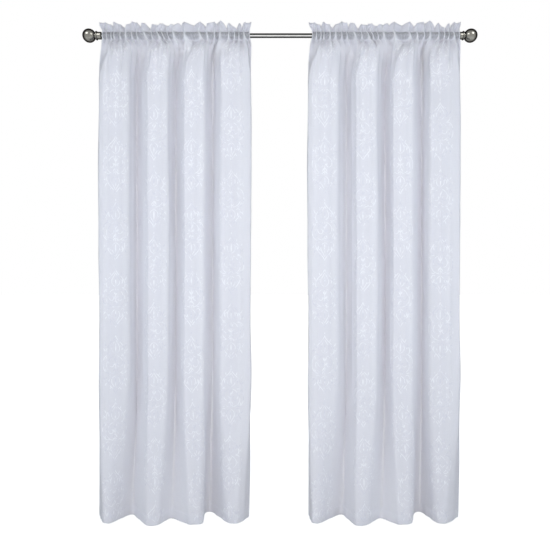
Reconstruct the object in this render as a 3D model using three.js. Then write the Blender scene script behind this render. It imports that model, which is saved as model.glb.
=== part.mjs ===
// A pair of rod-pocket curtain panels, gathered on one round rod with a ball finial at each end.
// Millimetres. X runs along the rod, -Y faces the room, +Y faces the wall, and Z is up.
// The origin is on the rod's axis, half way along the rod.

import * as THREE from "three";

// ---------------------------------------------------------------------------------------------
// Rod and finials
// ---------------------------------------------------------------------------------------------

const ROD_RADIUS = 9.5;
const ROD_END = 782; // from the middle of the rod to each end
const ROUND_SIDES = 24;
const FIT = 0.3; // clearance between pieces that touch

const COLLAR = {
  inner: 770, // the end that faces the cloth
  shoulder: 783, // where the sleeve meets the flange
  outer: 791, // the end that faces the ball
  sleeveRadius: 16,
  flangeRadius: 19,
  rim: 2, // rounding of the flange's rim
};

const BALL = {
  centre: 818,
  radius: 30,
  neckRadius: 15,
  neckEnd: 795, // where the neck runs into the ball
  arcSteps: 10,
};

// ---------------------------------------------------------------------------------------------
// Cloth
// ---------------------------------------------------------------------------------------------

const FLAT_WIDTH = 1067; // width of one panel laid flat
const GATHERED_WIDTH = 638; // the same panel along the rod
const PANEL_X = { panel_left: -767, panel_right: 130 }; // left edge of each rod pocket

const CLOTH = 1.4; // one layer
const HEADING_THICK = 2.4; // two layers pressed together by the pocket's upper seam
const HEM_THICK = 2.6; // the cloth and its turned-up hem

const SEAM_ABOVE = 17; // upper seam of the rod pocket
const SEAM_BELOW = -19; // lower seam of the rod pocket
const HEM_TOP = -2035;
const HEM_BOTTOM = -2075;
const HEADING_FLARE = { most: 10, power: 9 }; // how far the heading spreads past the pocket's ends

// The pocket's layers run round the rod. `room` is the clear radius they leave at each height.
const POCKET_RIBS = [
  { z: 8.5, room: 7.5 },
  { z: 0, room: 10.6 },
  { z: -9, room: 7.8 },
];
const POCKET_APEX = 2.5; // from each seam to the point where the two layers part

// One row per gather, from the panel's left edge: where its ridge and the hollow after it lie along
// the rod, and how high the heading stands above the rod's axis at the ridge and at the hollow.
const GATHERS = [
  { ridge: 0, hollow: 13, top: 53, dip: 53 },
  { ridge: 22, hollow: 33, top: 52, dip: 50 },
  { ridge: 44, hollow: 50, top: 51, dip: 50 },
  { ridge: 57, hollow: 70, top: 54, dip: 52 },
  { ridge: 84, hollow: 94, top: 46, dip: 40 },
  { ridge: 108, hollow: 123, top: 47, dip: 53 },
  { ridge: 134, hollow: 147, top: 56, dip: 50 },
  { ridge: 156, hollow: 169, top: 46, dip: 54 },
  { ridge: 190, hollow: 209, top: 52, dip: 37 },
  { ridge: 219, hollow: 231, top: 51, dip: 52 },
  { ridge: 247, hollow: 258, top: 51, dip: 49 },
  { ridge: 265, hollow: 278, top: 47, dip: 43 },
  { ridge: 288, hollow: 297, top: 46, dip: 50 },
  { ridge: 313, hollow: 342, top: 43, dip: 53 },
  { ridge: 359, hollow: 394, top: 53, dip: 47 },
  { ridge: 426, hollow: 443, top: 52, dip: 43 },
  { ridge: 456, hollow: 473, top: 49, dip: 57 },
  { ridge: 487, hollow: 498, top: 53, dip: 56 },
  { ridge: 511, hollow: 535, top: 59, dip: 37 },
  { ridge: 548, hollow: 562, top: 50, dip: 40 },
  { ridge: 573, hollow: 583, top: 33, dip: 39 },
  { ridge: 592, hollow: 601, top: 50, dip: 40 },
  { ridge: 614, hollow: 627, top: 51, dip: 58 },
];
const LAST_RIDGE = { ridge: GATHERED_WIDTH, top: 59 };
const WIDEST_RISE = 15; // a gather wider than this rises no higher

// One row per corner of the long folds, from the panel's left edge: its place along the rod (x) and
// its depth (y, minus towards the room) half way down and at the hem, and how far it is rounded.
const FOLDS = [
  { at: "left edge", midX: -6, midY: 24, hemX: -6, hemY: 44, round: 0 },
  { at: "crest 1 left", midX: -16, midY: -28, hemX: 7, hemY: -34, round: 16 },
  { at: "crest 1 middle", midX: 48, midY: -38, hemX: 30, hemY: -42, round: 30 },
  { at: "crest 1 right", midX: 117, midY: -34, hemX: 66, hemY: -8, round: 14 },
  { at: "valley 1", midX: 147, midY: 44, hemX: 132, hemY: 48, round: 16 },
  { at: "crest 2 left", midX: 206, midY: -34, hemX: 193, hemY: -52, round: 12 },
  { at: "crest 2 right", midX: 286, midY: -37, hemX: 236, hemY: -60, round: 12 },
  { at: "valley 2", midX: 321, midY: 43, hemX: 302, hemY: 12, round: 18 },
  { at: "crest 3 left", midX: 362, midY: -33, hemX: 376, hemY: -52, round: 12 },
  { at: "crest 3 right", midX: 441, midY: -38, hemX: 438, hemY: -46, round: 8 },
  { at: "valley 3 left", midX: 450, midY: 20, hemX: 440, hemY: 62, round: 14 },
  { at: "valley 3 right", midX: 478, midY: 36, hemX: 468, hemY: 84, round: 16 },
  { at: "crest 4 left", midX: 509, midY: -31, hemX: 542, hemY: -34, round: 14 },
  { at: "crest 4 middle", midX: 582, midY: -38, hemX: 572, hemY: -46, round: 26 },
  { at: "crest 4 right", midX: 645, midY: -28, hemX: 604, hemY: -20, round: 18 },
  { at: "right edge", midX: 640, midY: 4, hemX: 634, hemY: 24, round: 0 },
];
const FOLDS_OPEN = { over: 70, power: 1.1 }; // how far below the pocket the gathers open, and how fast
const FOLDS_SET = -440; // height by which the long folds have taken their places
const HEM_SPREAD = { from: -1420, power: 1.6 }; // where and how fast they move to their places at the hem

// The folds' walls lie along lines that meet in front of the rod's middle.
const FAN = { x: -21, reach: 2450 };

// Heights of the rows of faces between the pocket and the hem.
const BODY_ROWS = [-38, -62, -95, -140, -210, -320, -500, -800, -1250, -1650, -1880, -2030];
const WIDEST_FACE = 34; // a strip of cloth wider than this is split in two

// ---------------------------------------------------------------------------------------------
// Small helpers
// ---------------------------------------------------------------------------------------------

const mix = (a, b, t) => a + (b - a) * t;
const clamp01 = (t) => Math.min(1, Math.max(0, t));
const smooth = (t) => clamp01(t) ** 2 * (3 - 2 * clamp01(t));

// Finds where a rising function of one value reaches a target, by halving.
function solve(rising, target, low, high) {
  for (let i = 0; i < 40; i += 1) {
    const middle = (low + high) / 2;
    if (rising(middle) < target) low = middle;
    else high = middle;
  }
  return (low + high) / 2;
}

// Reads a value from rows sorted by `key`, as a straight line between two rows.
function readRow(rows, key, value, at) {
  let i = 1;
  while (i < rows.length - 1 && rows[i][key] < at) i += 1;
  const [a, b] = [rows[i - 1], rows[i]];
  return mix(a[value], b[value], clamp01((at - a[key]) / (b[key] - a[key])));
}

// ---------------------------------------------------------------------------------------------
// Gathers: ridges and hollows at the rod, as knots {x, y, top, share}
// ---------------------------------------------------------------------------------------------

const GATHER_SAMPLES = 12; // samples in each half wave when its length is measured

// Depth of the gathered cloth between two knots, as half a wave.
const halfWave = (a, b, t) => mix(a.y, b.y, (1 - Math.cos(Math.PI * t)) / 2);

function halfWaveLength(a, b) {
  let length = 0;
  let before = a.y;
  for (let i = 1; i <= GATHER_SAMPLES; i += 1) {
    const y = halfWave(a, b, i / GATHER_SAMPLES);
    length += Math.hypot((b.x - a.x) / GATHER_SAMPLES, y - before);
    before = y;
  }
  return length;
}

function gatherKnots(slope) {
  const knots = GATHERS.flatMap((row) => [
    { x: row.ridge, top: row.top, side: -1 },
    { x: row.hollow, top: row.dip, side: 1 },
  ]);
  knots.push({ x: LAST_RIDGE.ridge, top: LAST_RIDGE.top, side: -1 });
  knots.forEach((knot, i) => {
    const before = i > 0 ? knot.x - knots[i - 1].x : 0;
    const after = i < knots.length - 1 ? knots[i + 1].x - knot.x : before;
    const wide = Math.min((before || after) + after, 2 * WIDEST_RISE);
    knot.rise = (slope * wide) / 4;
    knot.y = knot.side * knot.rise;
  });
  let length = 0;
  knots[0].length = 0;
  for (let i = 1; i < knots.length; i += 1) {
    length += halfWaveLength(knots[i - 1], knots[i]);
    knots[i].length = length;
  }
  knots.forEach((knot) => (knot.share = knot.length / length));
  return knots;
}

const clothAcross = (knots) => knots[knots.length - 1].length;
const gatherSlope = solve((slope) => clothAcross(gatherKnots(slope)), FLAT_WIDTH, 0.2, 4);
const KNOTS = gatherKnots(gatherSlope);

// The gather's depth at a share of the cloth's width.
function rippleAt(share) {
  let i = 1;
  while (i < KNOTS.length - 1 && KNOTS[i].share < share) i += 1;
  const [a, b] = [KNOTS[i - 1], KNOTS[i]];
  return halfWave(a, b, clamp01((share - a.share) / (b.share - a.share)));
}

const gatheredX = (share) => readRow(KNOTS, "share", "x", share);
const riseAt = (share) => readRow(KNOTS, "share", "rise", share);
const headingTop = (share) => readRow(KNOTS, "share", "top", share);

// How far the gathers have opened at a height: 0 at the pocket, 1 far below it.
function opened(z) {
  if (z >= SEAM_BELOW) return 0;
  return 1 - Math.exp(-(((SEAM_BELOW - z) / FOLDS_OPEN.over) ** FOLDS_OPEN.power));
}

// ---------------------------------------------------------------------------------------------
// Long folds: the line of the cloth seen from above, at one height
// ---------------------------------------------------------------------------------------------

// Each fold corner's share of the way along the folded line half way down.
const FOLD_SHARES = FOLDS.reduce((shares, row, i) => {
  const last = FOLDS[i - 1];
  const step = last ? Math.hypot(row.midX - last.midX, row.midY - last.midY) : 0;
  return [...shares, (shares[i - 1] ?? 0) + step];
}, []);
const FOLD_LENGTH = FOLD_SHARES[FOLD_SHARES.length - 1];

// The fold corners at a height, with their depths scaled.
function foldCorners(z, depth) {
  const settled = smooth((SEAM_BELOW - z) / (SEAM_BELOW - FOLDS_SET));
  const spread = clamp01((HEM_SPREAD.from - z) / (HEM_SPREAD.from - HEM_BOTTOM)) ** HEM_SPREAD.power;
  return FOLDS.map((row, i) => {
    const gathered = (GATHERED_WIDTH * FOLD_SHARES[i]) / FOLD_LENGTH;
    return {
      x: mix(gathered, mix(row.midX, row.hemX, spread), settled),
      y: depth * mix(row.midY, row.hemY, spread),
      round: row.round,
    };
  });
}

const CURVE_STEPS = 8; // steps round each rounded corner
const MOST_ROUND = 0.48; // a corner's rounding takes less than half of the walls beside it
const DEEPEST = 2.5; // limit of the search for the folds' depth, as a share of the depths in FOLDS

// A line through the corners, with each corner rounded, as points with their length so far.
function roundedLine(corners) {
  const points = [corners[0]];
  for (let i = 1; i < corners.length - 1; i += 1) {
    const [a, b, c] = [corners[i - 1], corners[i], corners[i + 1]];
    const before = Math.hypot(b.x - a.x, b.y - a.y);
    const after = Math.hypot(c.x - b.x, c.y - b.y);
    const round = Math.min(b.round, MOST_ROUND * before, MOST_ROUND * after);
    const start = { x: mix(b.x, a.x, round / before), y: mix(b.y, a.y, round / before) };
    const end = { x: mix(b.x, c.x, round / after), y: mix(b.y, c.y, round / after) };
    for (let step = 0; step <= CURVE_STEPS; step += 1) {
      const t = step / CURVE_STEPS;
      points.push({
        x: mix(mix(start.x, b.x, t), mix(b.x, end.x, t), t),
        y: mix(mix(start.y, b.y, t), mix(b.y, end.y, t), t),
      });
    }
  }
  points.push(corners[corners.length - 1]);
  let length = 0;
  return points.map((point, i) => {
    if (i > 0) length += Math.hypot(point.x - points[i - 1].x, point.y - points[i - 1].y);
    return { x: point.x, y: point.y, length };
  });
}

// The point at a share of the line's length, with the line's normal towards the wall.
function pointOnLine(line, share) {
  const at = share * line[line.length - 1].length;
  let i = 1;
  while (i < line.length - 1 && (line[i].length < at || line[i].length === line[i - 1].length)) i += 1;
  const [a, b] = [line[i - 1], line[i]];
  const run = b.length - a.length;
  const t = clamp01((at - a.length) / run);
  return {
    x: mix(a.x, b.x, t),
    y: mix(a.y, b.y, t),
    nx: -(b.y - a.y) / run,
    ny: (b.x - a.x) / run,
  };
}

// The cloth at one height, at each share of its width: long folds of one depth, with gathers of
// another on top of them.
function clothPoints(z, depth, gather, shares) {
  const line = roundedLine(foldCorners(z, depth));
  return shares.map((share) => {
    const onLine = pointOnLine(line, mix(gatheredX(share) / GATHERED_WIDTH, share, opened(z)));
    const ripple = gather * rippleAt(share);
    return { x: onLine.x + ripple * onLine.nx, y: onLine.y + ripple * onLine.ny };
  });
}

function lengthOf(points) {
  return points.reduce(
    (sum, p, i) => (i ? sum + Math.hypot(p.x - points[i - 1].x, p.y - points[i - 1].y) : 0),
    0,
  );
}

const FINE_STEPS = 400;
const FINE_SHARES = Array.from({ length: FINE_STEPS + 1 }, (_, i) => i / FINE_STEPS);

// The depths of the long folds and of the gathers at a height. The folds deepen as the gathers
// open, and the cloth keeps its width all the way down.
function depthsAt(z) {
  if (z >= SEAM_BELOW) return { depth: 0, gather: 1 };
  const width = (depth, gather) => lengthOf(clothPoints(z, depth, gather, FINE_SHARES));
  const deepest = solve((depth) => width(depth, 0), FLAT_WIDTH, 0, DEEPEST);
  const depth = deepest * opened(z);
  return { depth, gather: solve((gather) => width(depth, gather), FLAT_WIDTH, 0, DEEPEST) };
}

// ---------------------------------------------------------------------------------------------
// A panel: one closed solid, with the rod's tunnel through its pocket
// ---------------------------------------------------------------------------------------------

// The shares of the cloth's width at which the panel has a column of corners.
function columnShares() {
  const shares = [0];
  for (let i = 1; i < KNOTS.length; i += 1) {
    const [from, to] = [KNOTS[i - 1].share, KNOTS[i].share];
    if ((to - from) * FLAT_WIDTH > WIDEST_FACE) shares.push((from + to) / 2);
    shares.push(to);
  }
  return shares;
}

const WIDEST_MITRE = 1.7; // a layer is lengthened no more than this at a sharp bend

// Directions square to a line of points, lengthened at each bend so that the layer keeps its width.
function squareOffsets(points) {
  return points.map((point, i) => {
    const a = points[Math.max(0, i - 1)];
    const b = points[Math.min(points.length - 1, i + 1)];
    const before = new THREE.Vector2(point.x - a.x, point.y - a.y);
    const after = new THREE.Vector2(b.x - point.x, b.y - point.y);
    if (i === 0) before.copy(after);
    if (i === points.length - 1) after.copy(before);
    before.normalize();
    after.normalize();
    const along = before.clone().add(after).normalize();
    const widen = Math.min(WIDEST_MITRE, 1 / along.dot(after));
    return new THREE.Vector2(-along.y, along.x).multiplyScalar(widen);
  });
}

function thicknessAt(z) {
  if (z >= SEAM_BELOW) return HEADING_THICK;
  return z <= HEM_TOP ? HEM_THICK : CLOTH;
}

// The faces of the cloth at one height: a front and a back point in each column.
function sheetRow(z, shares, heights) {
  const { depth, gather } = depthsAt(z);
  const points = clothPoints(z, depth, gather, shares);
  const offsets = squareOffsets(points);
  const half = thicknessAt(z) / 2;
  return points.map((point, i) => {
    const height = heights ? heights[i] : z;
    return {
      front: [point.x - half * offsets[i].x, point.y - half * offsets[i].y, height],
      back: [point.x + half * offsets[i].x, point.y + half * offsets[i].y, height],
    };
  });
}

// The pocket round the rod at one height: both layers, each with its outer and inner face.
function pocketRow(rib, shares) {
  return clothPoints(rib.z, 0, 1, shares).map((point, i) => {
    const room = rib.room + riseAt(shares[i]);
    return {
      front: [point.x, point.y - room - CLOTH, rib.z],
      frontInner: [point.x, point.y - room, rib.z],
      backInner: [point.x, point.y + room, rib.z],
      back: [point.x, point.y + room + CLOTH, rib.z],
    };
  });
}

// Spreads the heading past the ends of the pocket, more the higher it is.
function flareHeading(row) {
  for (const point of row.flatMap((column) => [column.front, column.back])) {
    const side = (2 * point[0]) / GATHERED_WIDTH - 1;
    point[0] += HEADING_FLARE.most * Math.sign(side) * Math.abs(side) ** HEADING_FLARE.power;
  }
  return row;
}

// Turns the folds' walls towards the middle of the room, once they are below the gathers.
function fanned([x, y, z], panelX) {
  return [panelX + x + (opened(z) * y * (panelX + x - FAN.x)) / FAN.reach, y, z];
}

function panelGeometry(panelX) {
  const shares = columnShares();
  const body = [HEM_BOTTOM, HEM_TOP, ...[...BODY_ROWS].reverse()].map((z) => sheetRow(z, shares));
  const seamBelow = sheetRow(SEAM_BELOW, shares);
  const seamAbove = sheetRow(SEAM_ABOVE, shares);
  const heading = flareHeading(sheetRow(SEAM_ABOVE, shares, shares.map(headingTop)));
  const pocket = POCKET_RIBS.map((rib) => pocketRow(rib, shares)).reverse();
  const apex = (z) =>
    clothPoints(SEAM_ABOVE, 0, 1, shares).map((point) => ({ inner: [point.x, point.y, z] }));
  const apexBelow = apex(SEAM_BELOW + POCKET_APEX);
  const apexAbove = apex(SEAM_ABOVE - POCKET_APEX);

  // Every point of one column, in three lists: up the front, up the back and round the tunnel.
  const upright = [...body, seamBelow, ...pocket, seamAbove, heading];
  const frontOf = (c) => upright.map((row) => row[c].front);
  const backOf = (c) => upright.map((row) => row[c].back);
  const tunnelFront = (c) => pocket.map((row) => row[c].frontInner);
  const tunnelBack = (c) => pocket.map((row) => row[c].backInner);
  const columns = shares.map((_, c) => [
    ...frontOf(c),
    ...backOf(c),
    apexBelow[c].inner,
    ...tunnelFront(c),
    apexAbove[c].inner,
    ...tunnelBack(c),
  ]);

  // Where each list starts in a column.
  const rows = upright.length;
  const ribs = pocket.length;
  const front = (i) => i;
  const back = (i) => rows + i;
  const lowApex = 2 * rows;
  const innerFront = (i) => lowApex + 1 + i;
  const highApex = lowApex + 1 + ribs;
  const innerBack = (i) => highApex + 1 + i;
  const perColumn = highApex + 1 + ribs;
  const seam = body.length; // index of the lower seam in the upright lists

  const span = (count) => Array.from({ length: count }, (_, i) => i);
  const outerLoop = [...span(rows).map(front), ...span(rows).map(back).reverse()];
  const upTheBack = [lowApex, ...span(ribs).map(innerBack)];
  const tunnelLoop = [...upTheBack, highApex, ...span(ribs).map(innerFront).reverse()];

  // The end of a panel, as four-cornered and three-cornered faces between its lists.
  const layer = (outside, inside) =>
    span(outside.length - 1).map((i) => [outside[i], outside[i + 1], inside[i + 1], inside[i]]);
  const rib = (list) => span(ribs + 2).map((i) => list(seam + i));
  const endFaces = [
    ...layer(span(seam + 1).map(front), span(seam + 1).map(back)),
    [front(seam), lowApex, back(seam)],
    ...layer(rib(front), [lowApex, ...span(ribs).map(innerFront), highApex]),
    ...layer([lowApex, ...span(ribs).map(innerBack), highApex], rib(back)),
    [front(seam + ribs + 1), back(seam + ribs + 1), highApex],
    ...layer(
      [front(seam + ribs + 1), front(seam + ribs + 2)],
      [back(seam + ribs + 1), back(seam + ribs + 2)],
    ),
  ];

  const index = [];
  const face = (corners, flip) => {
    for (let i = 1; i < corners.length - 1; i += 1) {
      const [a, b, c] = [corners[0], corners[i], corners[i + 1]];
      index.push(...(flip ? [a, c, b] : [a, b, c]));
    }
  };
  // Both sides of a layer are split along the same diagonal, so the layer is as thick all over.
  for (let c = 0; c < shares.length - 1; c += 1) {
    const [here, next] = [c * perColumn, (c + 1) * perColumn];
    for (const loop of [outerLoop, tunnelLoop]) {
      loop.forEach((from, i) => {
        const to = loop[(i + 1) % loop.length];
        const corners = [here + from, next + from, next + to, here + to];
        const downwards = columns[c][from][2] > columns[c][to][2];
        face(downwards ? [...corners.slice(1), corners[0]] : corners, false);
      });
    }
  }
  const lastColumn = (shares.length - 1) * perColumn;
  for (const corners of endFaces) {
    face(corners, false);
    face(
      corners.map((corner) => lastColumn + corner),
      true,
    );
  }

  const positions = columns.flat().flatMap((point) => fanned(point, panelX));
  const geometry = new THREE.BufferGeometry();
  geometry.setAttribute("position", new THREE.Float32BufferAttribute(positions, 3));
  geometry.setIndex(index);
  geometry.computeVertexNormals();
  return geometry;
}

// ---------------------------------------------------------------------------------------------
// Rod, collars and balls: turned pieces, made upright and laid along the rod
// ---------------------------------------------------------------------------------------------

const point = (radius, along) => new THREE.Vector2(radius, along);

// Points of a quarter or part circle, from one angle to another.
function arc(centreRadius, centreAlong, radius, from, to, steps) {
  return Array.from({ length: steps + 1 }, (_, i) => {
    const angle = mix(from, to, i / steps);
    return point(centreRadius + radius * Math.sin(angle), centreAlong + radius * Math.cos(angle));
  });
}

function turned(profile) {
  return new THREE.LatheGeometry(profile, ROUND_SIDES);
}

function rodGeometry() {
  return turned([
    point(0, -ROD_END),
    point(ROD_RADIUS, -ROD_END),
    point(ROD_RADIUS, ROD_END),
    point(0, ROD_END),
  ]);
}

function collarGeometry() {
  const { inner, shoulder, outer, sleeveRadius, flangeRadius, rim } = COLLAR;
  const bore = ROD_RADIUS + FIT;
  const corner = flangeRadius - rim;
  return turned([
    point(bore, inner),
    point(sleeveRadius, inner),
    point(sleeveRadius, shoulder),
    ...arc(corner, shoulder + rim, rim, Math.PI, Math.PI / 2, 3),
    ...arc(corner, outer - rim, rim, Math.PI / 2, 0, 3),
    point(bore, outer),
    point(bore, inner),
  ]);
}

function ballGeometry() {
  const { centre, radius, neckRadius, neckEnd, arcSteps } = BALL;
  const neckStart = COLLAR.outer + FIT;
  const cut = Math.acos((neckEnd - centre) / radius);
  return turned([
    point(0, ROD_END + FIT),
    point(ROD_RADIUS, ROD_END + FIT),
    point(ROD_RADIUS, neckStart),
    point(neckRadius, neckStart),
    point(neckRadius, neckEnd),
    ...arc(0, centre, radius, cut, 0, arcSteps),
  ]);
}

// ---------------------------------------------------------------------------------------------
// The object
// ---------------------------------------------------------------------------------------------

const cloth = () => new THREE.MeshStandardMaterial({ color: 0xdcdfeb, roughness: 0.8, metalness: 0 });
const metal = (color) => new THREE.MeshStandardMaterial({ color, roughness: 0.3, metalness: 1 });
const rodMetal = () => metal(0x9a9a98);
const finialMetal = () => metal(0x77736a);

const group = new THREE.Group();

function add(parent, name, geometry, material) {
  const mesh = new THREE.Mesh(geometry, material);
  mesh.name = name;
  parent.add(mesh);
}

for (const [name, panelX] of Object.entries(PANEL_X)) {
  add(group, name, panelGeometry(panelX), cloth());
}

// Turned pieces are made along +Y: this group lays +Y along +X.
const alongRod = new THREE.Group();
alongRod.rotation.z = -Math.PI / 2;
group.add(alongRod);
add(alongRod, "rod", rodGeometry(), rodMetal());

for (const [side, turn] of [
  ["right", 0],
  ["left", Math.PI],
]) {
  const end = new THREE.Group();
  end.rotation.x = turn; // half a turn points it at the other end
  alongRod.add(end);
  add(end, `collar_${side}`, collarGeometry(), finialMetal());
  add(end, `ball_${side}`, ballGeometry(), finialMetal());
}

export default group;
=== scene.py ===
"""A pair of white rod-pocket curtain panels on their rod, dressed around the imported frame.

Metres, in the part's own frame: X along the rod, -Y to the room, +Y to the wall, Z up, and the
origin on the rod's axis. Tables of the cloth's folds are in millimetres and are scaled by MM.
"""
import math

import bpy
import numpy as np
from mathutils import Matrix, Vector


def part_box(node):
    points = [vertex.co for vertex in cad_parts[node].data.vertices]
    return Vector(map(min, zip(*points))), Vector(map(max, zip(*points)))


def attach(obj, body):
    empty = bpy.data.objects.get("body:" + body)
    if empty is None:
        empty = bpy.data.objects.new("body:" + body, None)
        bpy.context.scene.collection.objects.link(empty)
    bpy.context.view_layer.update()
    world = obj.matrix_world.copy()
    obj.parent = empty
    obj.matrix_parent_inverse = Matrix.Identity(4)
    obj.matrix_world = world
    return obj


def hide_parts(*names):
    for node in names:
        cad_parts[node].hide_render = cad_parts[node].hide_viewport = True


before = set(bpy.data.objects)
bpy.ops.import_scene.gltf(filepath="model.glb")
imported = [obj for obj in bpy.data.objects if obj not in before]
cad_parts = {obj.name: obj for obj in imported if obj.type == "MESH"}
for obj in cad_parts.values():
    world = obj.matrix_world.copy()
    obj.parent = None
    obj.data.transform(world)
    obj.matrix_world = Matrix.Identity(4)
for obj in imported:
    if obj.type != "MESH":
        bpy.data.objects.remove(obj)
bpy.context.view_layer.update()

MM = 0.001

# ---------------------------------------------------------------------------------------------
# Sizes: the rod and finials from the frame, the cloth from its own cut
# ---------------------------------------------------------------------------------------------

ROD_RADIUS = 0.0095
ROD_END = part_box("rod")[1][0]
COLLAR_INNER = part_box("collar_right")[0][0]
COLLAR_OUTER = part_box("collar_right")[1][0]
BALL_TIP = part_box("ball_right")[1][0]
HEM_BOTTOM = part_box("panel_left")[0][2]

PANEL_X = {"panel_left": -0.767, "panel_right": 0.130}  # left edge of each rod pocket
FLAT_WIDTH = 1.067  # of the cloth laid out
GATHERED_WIDTH = 0.638  # of the cloth on the rod
SEAM_ABOVE, SEAM_BELOW = 0.019, -0.016  # heights of the pocket's two seams
HEM_HEIGHT = 0.040
HEM_TOP = HEM_BOTTOM + HEM_HEIGHT
HEADING_FLARE = (0.007, 9)  # how far the ruffle spreads at its ends, and how sharply

LAYER = 0.8 * MM  # one layer of cloth
HEADING_THICK = 1.8 * MM
HEM_THICK = 2.4 * MM
SIDE_HEM = 0.024  # width of the turned edge down each side
SIDE_HEM_THICK = 1.9 * MM

# Ridge and hollow of each gather, by place along the rod, millimetres.
GATHERS = (
    (0, 13), (22, 33), (44, 50), (57, 70), (84, 94), (108, 123),
    (134, 147), (156, 169), (190, 209), (219, 231), (247, 258), (265, 278),
    (288, 297), (313, 342), (359, 394), (426, 443), (456, 473), (487, 498),
    (511, 535), (548, 562), (573, 583), (592, 601), (614, 627),
)
NARROW_RIDGE = 0.42  # below 1, ridges are narrower than hollows
WIDEST_RISE = 15  # a gather wider than this is no deeper

# One row per corner of the long folds: place and depth half way down and at the hem, rounding.
FOLD_COLUMNS = ("mid_x", "mid_y", "hem_x", "hem_y", "round")
FOLDS = (
    (-6, 24, -6, 44, 0),  # left edge
    (-11, -30, 8, -34, 8),  # crest 1
    (48, -38, 30, -42, 30),
    (116, -34, 66, -8, 22),
    (155, 46, 134, 50, 9),  # valley 1
    (198, -37, 193, -52, 5),  # crest 2
    (286, -37, 236, -60, 14),
    (321, 43, 302, 17, 9),  # valley 2
    (356, -36, 376, -52, 5),  # crest 3
    (444, -38, 438, -46, 13),
    (459, 4, 440, 62, 12),  # valley 3
    (477, 39, 468, 82, 10),
    (509, -31, 542, -34, 14),  # crest 4
    (582, -38, 572, -46, 26),
    (645, -29, 604, -20, 8),
    (640, 4, 634, 24, 0),  # right edge
)
FOLDS_OPEN = (0.040, 1.1)  # how far below the pocket the gathers open, and how fast
FOLDS_SET = -0.200  # the long folds have reached their places at this height
ROUND_TOP, ROUND_HEM = 0.35, 1.0  # the folds' corners are sharper at the pocket, softer at the hem
HEM_SPREAD = (-1.420, 1.6)  # from this height the folds move to their places at the hem, and how fast
FAN_X, FAN_REACH = -0.021, 2.450  # the folds' walls turn towards a point this far out in the room


def smooth(t):
    t = np.clip(t, 0.0, 1.0)
    return t * t * (3 - 2 * t)


def solve(rising, target, low, high, steps=32):
    """Where a rising function of one value reaches the target."""
    for _ in range(steps):
        middle = (low + high) / 2
        if rising(middle) < target:
            low = middle
        else:
            high = middle
    return (low + high) / 2


# ---------------------------------------------------------------------------------------------
# Gathers at the rod
# ---------------------------------------------------------------------------------------------


def gather_knots(slope):
    """Ridges and hollows along the rod as arrays x, y, rise and share of the cloth's width."""
    x = np.array([place for gather in GATHERS for place in gather] + [GATHERED_WIDTH / MM])
    steps = np.diff(x)
    before = np.concatenate([steps[:1], steps])
    after = np.concatenate([steps, steps[-1:]])
    rise = slope * np.minimum(before + after, 2 * WIDEST_RISE) / 4
    side = np.where(np.arange(len(x)) % 2 == 0, -1.0, 1.0)
    y = side * rise
    t = np.linspace(0, 1, 13)
    wave = (1 - np.cos(np.pi * t)) / 2
    lengths = [
        np.hypot(step * np.diff(t), (y[i + 1] - y[i]) * np.diff(wave)).sum()
        for i, step in enumerate(steps)
    ]
    length = np.concatenate([[0], np.cumsum(lengths)])
    return {
        "x": x * MM,
        "y": y * MM,
        "rise": rise * MM,
        "length": length[-1] * MM,
        "share": length / length[-1],
    }


KNOTS = gather_knots(solve(lambda slope: gather_knots(slope)["length"], FLAT_WIDTH, 0.2, 4.0))


def half_waves(share, key, narrow=1.0):
    """A knot value read along the cloth, in half waves; narrow below 1 makes ridges narrow."""
    s = KNOTS["share"]
    i = np.clip(np.searchsorted(s, share) - 1, 0, len(s) - 2)
    t = (share - s[i]) / (s[i + 1] - s[i])
    wave = (1 - np.cos(np.pi * t)) / 2
    wave = np.where(i % 2 == 0, wave**narrow, 1 - (1 - wave) ** narrow)
    return KNOTS[key][i] + (KNOTS[key][i + 1] - KNOTS[key][i]) * wave


def hollow_share(share, narrow=1.0):
    """0 on the gathers' ridges and 1 in their hollows."""
    return (1 + half_waves(share, "y", narrow) / half_waves(share, "rise", narrow)) / 2


def gathered_x(share):
    return np.interp(share, KNOTS["share"], KNOTS["x"])


def opened(z):
    """How far the gathers have opened at a height: 0 at the pocket, 1 far below it."""
    if z >= SEAM_BELOW:
        return 0.0
    return 1 - math.exp(-(((SEAM_BELOW - z) / FOLDS_OPEN[0]) ** FOLDS_OPEN[1]))


# ---------------------------------------------------------------------------------------------
# Long folds
# ---------------------------------------------------------------------------------------------

CORNERS = {name: np.array(column, float) * MM for name, column in zip(FOLD_COLUMNS, zip(*FOLDS))}
_steps = np.hypot(np.diff(CORNERS["mid_x"]), np.diff(CORNERS["mid_y"]))
CORNER_SHARE = np.concatenate([[0], np.cumsum(_steps)]) / _steps.sum()
MOST_ROUND = 0.48  # a rounding takes at most this share of a side
CURVE_T = np.linspace(0, 1, 11)


def fold_corners(z, depth):
    settled = smooth((SEAM_BELOW - z) / (SEAM_BELOW - FOLDS_SET))
    spread = np.clip((HEM_SPREAD[0] - z) / (HEM_SPREAD[0] - HEM_BOTTOM), 0, 1) ** HEM_SPREAD[1]
    x = CORNERS["mid_x"] * (1 - spread) + CORNERS["hem_x"] * spread
    y = CORNERS["mid_y"] * (1 - spread) + CORNERS["hem_y"] * spread
    x = GATHERED_WIDTH * CORNER_SHARE * (1 - settled) + x * settled
    return np.stack([x, depth * y], axis=1), ROUND_TOP + (1 - ROUND_TOP) * settled + ROUND_HEM * spread


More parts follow.
